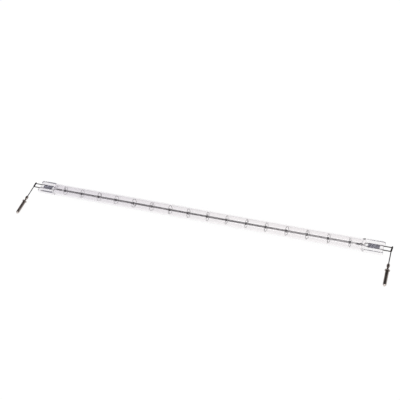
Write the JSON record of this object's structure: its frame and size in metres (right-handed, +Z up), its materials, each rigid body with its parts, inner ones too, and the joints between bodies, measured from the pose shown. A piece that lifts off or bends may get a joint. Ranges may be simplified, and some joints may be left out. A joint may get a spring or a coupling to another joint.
{
  "type": "quartz heating tube",
  "caption": "Clear quartz infrared heating lamp: a long coil on ring supports, flat pinch seals and a short wire with a contact pin at each end.",
  "frame": {"origin": "the middle of the tube on its axis", "axes": "+X along the tube, +Z up out of the pinch flats, both contact pins towards -Y"},
  "size_m": [0.3593, 0.0398, 0.011],
  "materials": {
    "quartz": "clear fused quartz, smooth",
    "coil_tungsten": "drawn tungsten, dull grey",
    "ring_tungsten": "drawn tungsten, dull grey",
    "inner_lead": "dark molybdenum wire",
    "foil": "blue-grey molybdenum foil",
    "outer_lead": "drawn molybdenum wire, slightly oxidised",
    "terminal_wire": "nickel wire, brown heat tint at the weld",
    "contact_metal": "turned pin, dark nickel plate with worn edges"
  },
  "bodies": {
    "root": {"quartz_envelope": "quartz", "filament_coil": "coil_tungsten", "support_ring_01": "ring_tungsten", "support_ring_02": "ring_tungsten", "support_ring_03": "ring_tungsten", "support_ring_04": "ring_tungsten", "support_ring_05": "ring_tungsten", "support_ring_06": "ring_tungsten", "support_ring_07": "ring_tungsten", "support_ring_08": "ring_tungsten", "support_ring_09": "ring_tungsten", "support_ring_10": "ring_tungsten", "support_ring_11": "ring_tungsten", "support_ring_12": "ring_tungsten", "support_ring_13": "ring_tungsten", "support_ring_14": "ring_tungsten", "support_ring_15": "ring_tungsten", "support_ring_16": "ring_tungsten", "left_inner_lead": "inner_lead", "left_foil": "foil", "left_outer_lead_far": "outer_lead", "left_outer_lead_near": "outer_lead", "left_terminal_wire": "terminal_wire", "left_contact_pin": "contact_metal", "right_inner_lead": "inner_lead", "right_foil": "foil", "right_outer_lead_far": "outer_lead", "right_outer_lead_near": "outer_lead", "right_terminal_wire": "terminal_wire", "right_contact_pin": "contact_metal"}
  },
  "joints": []
}
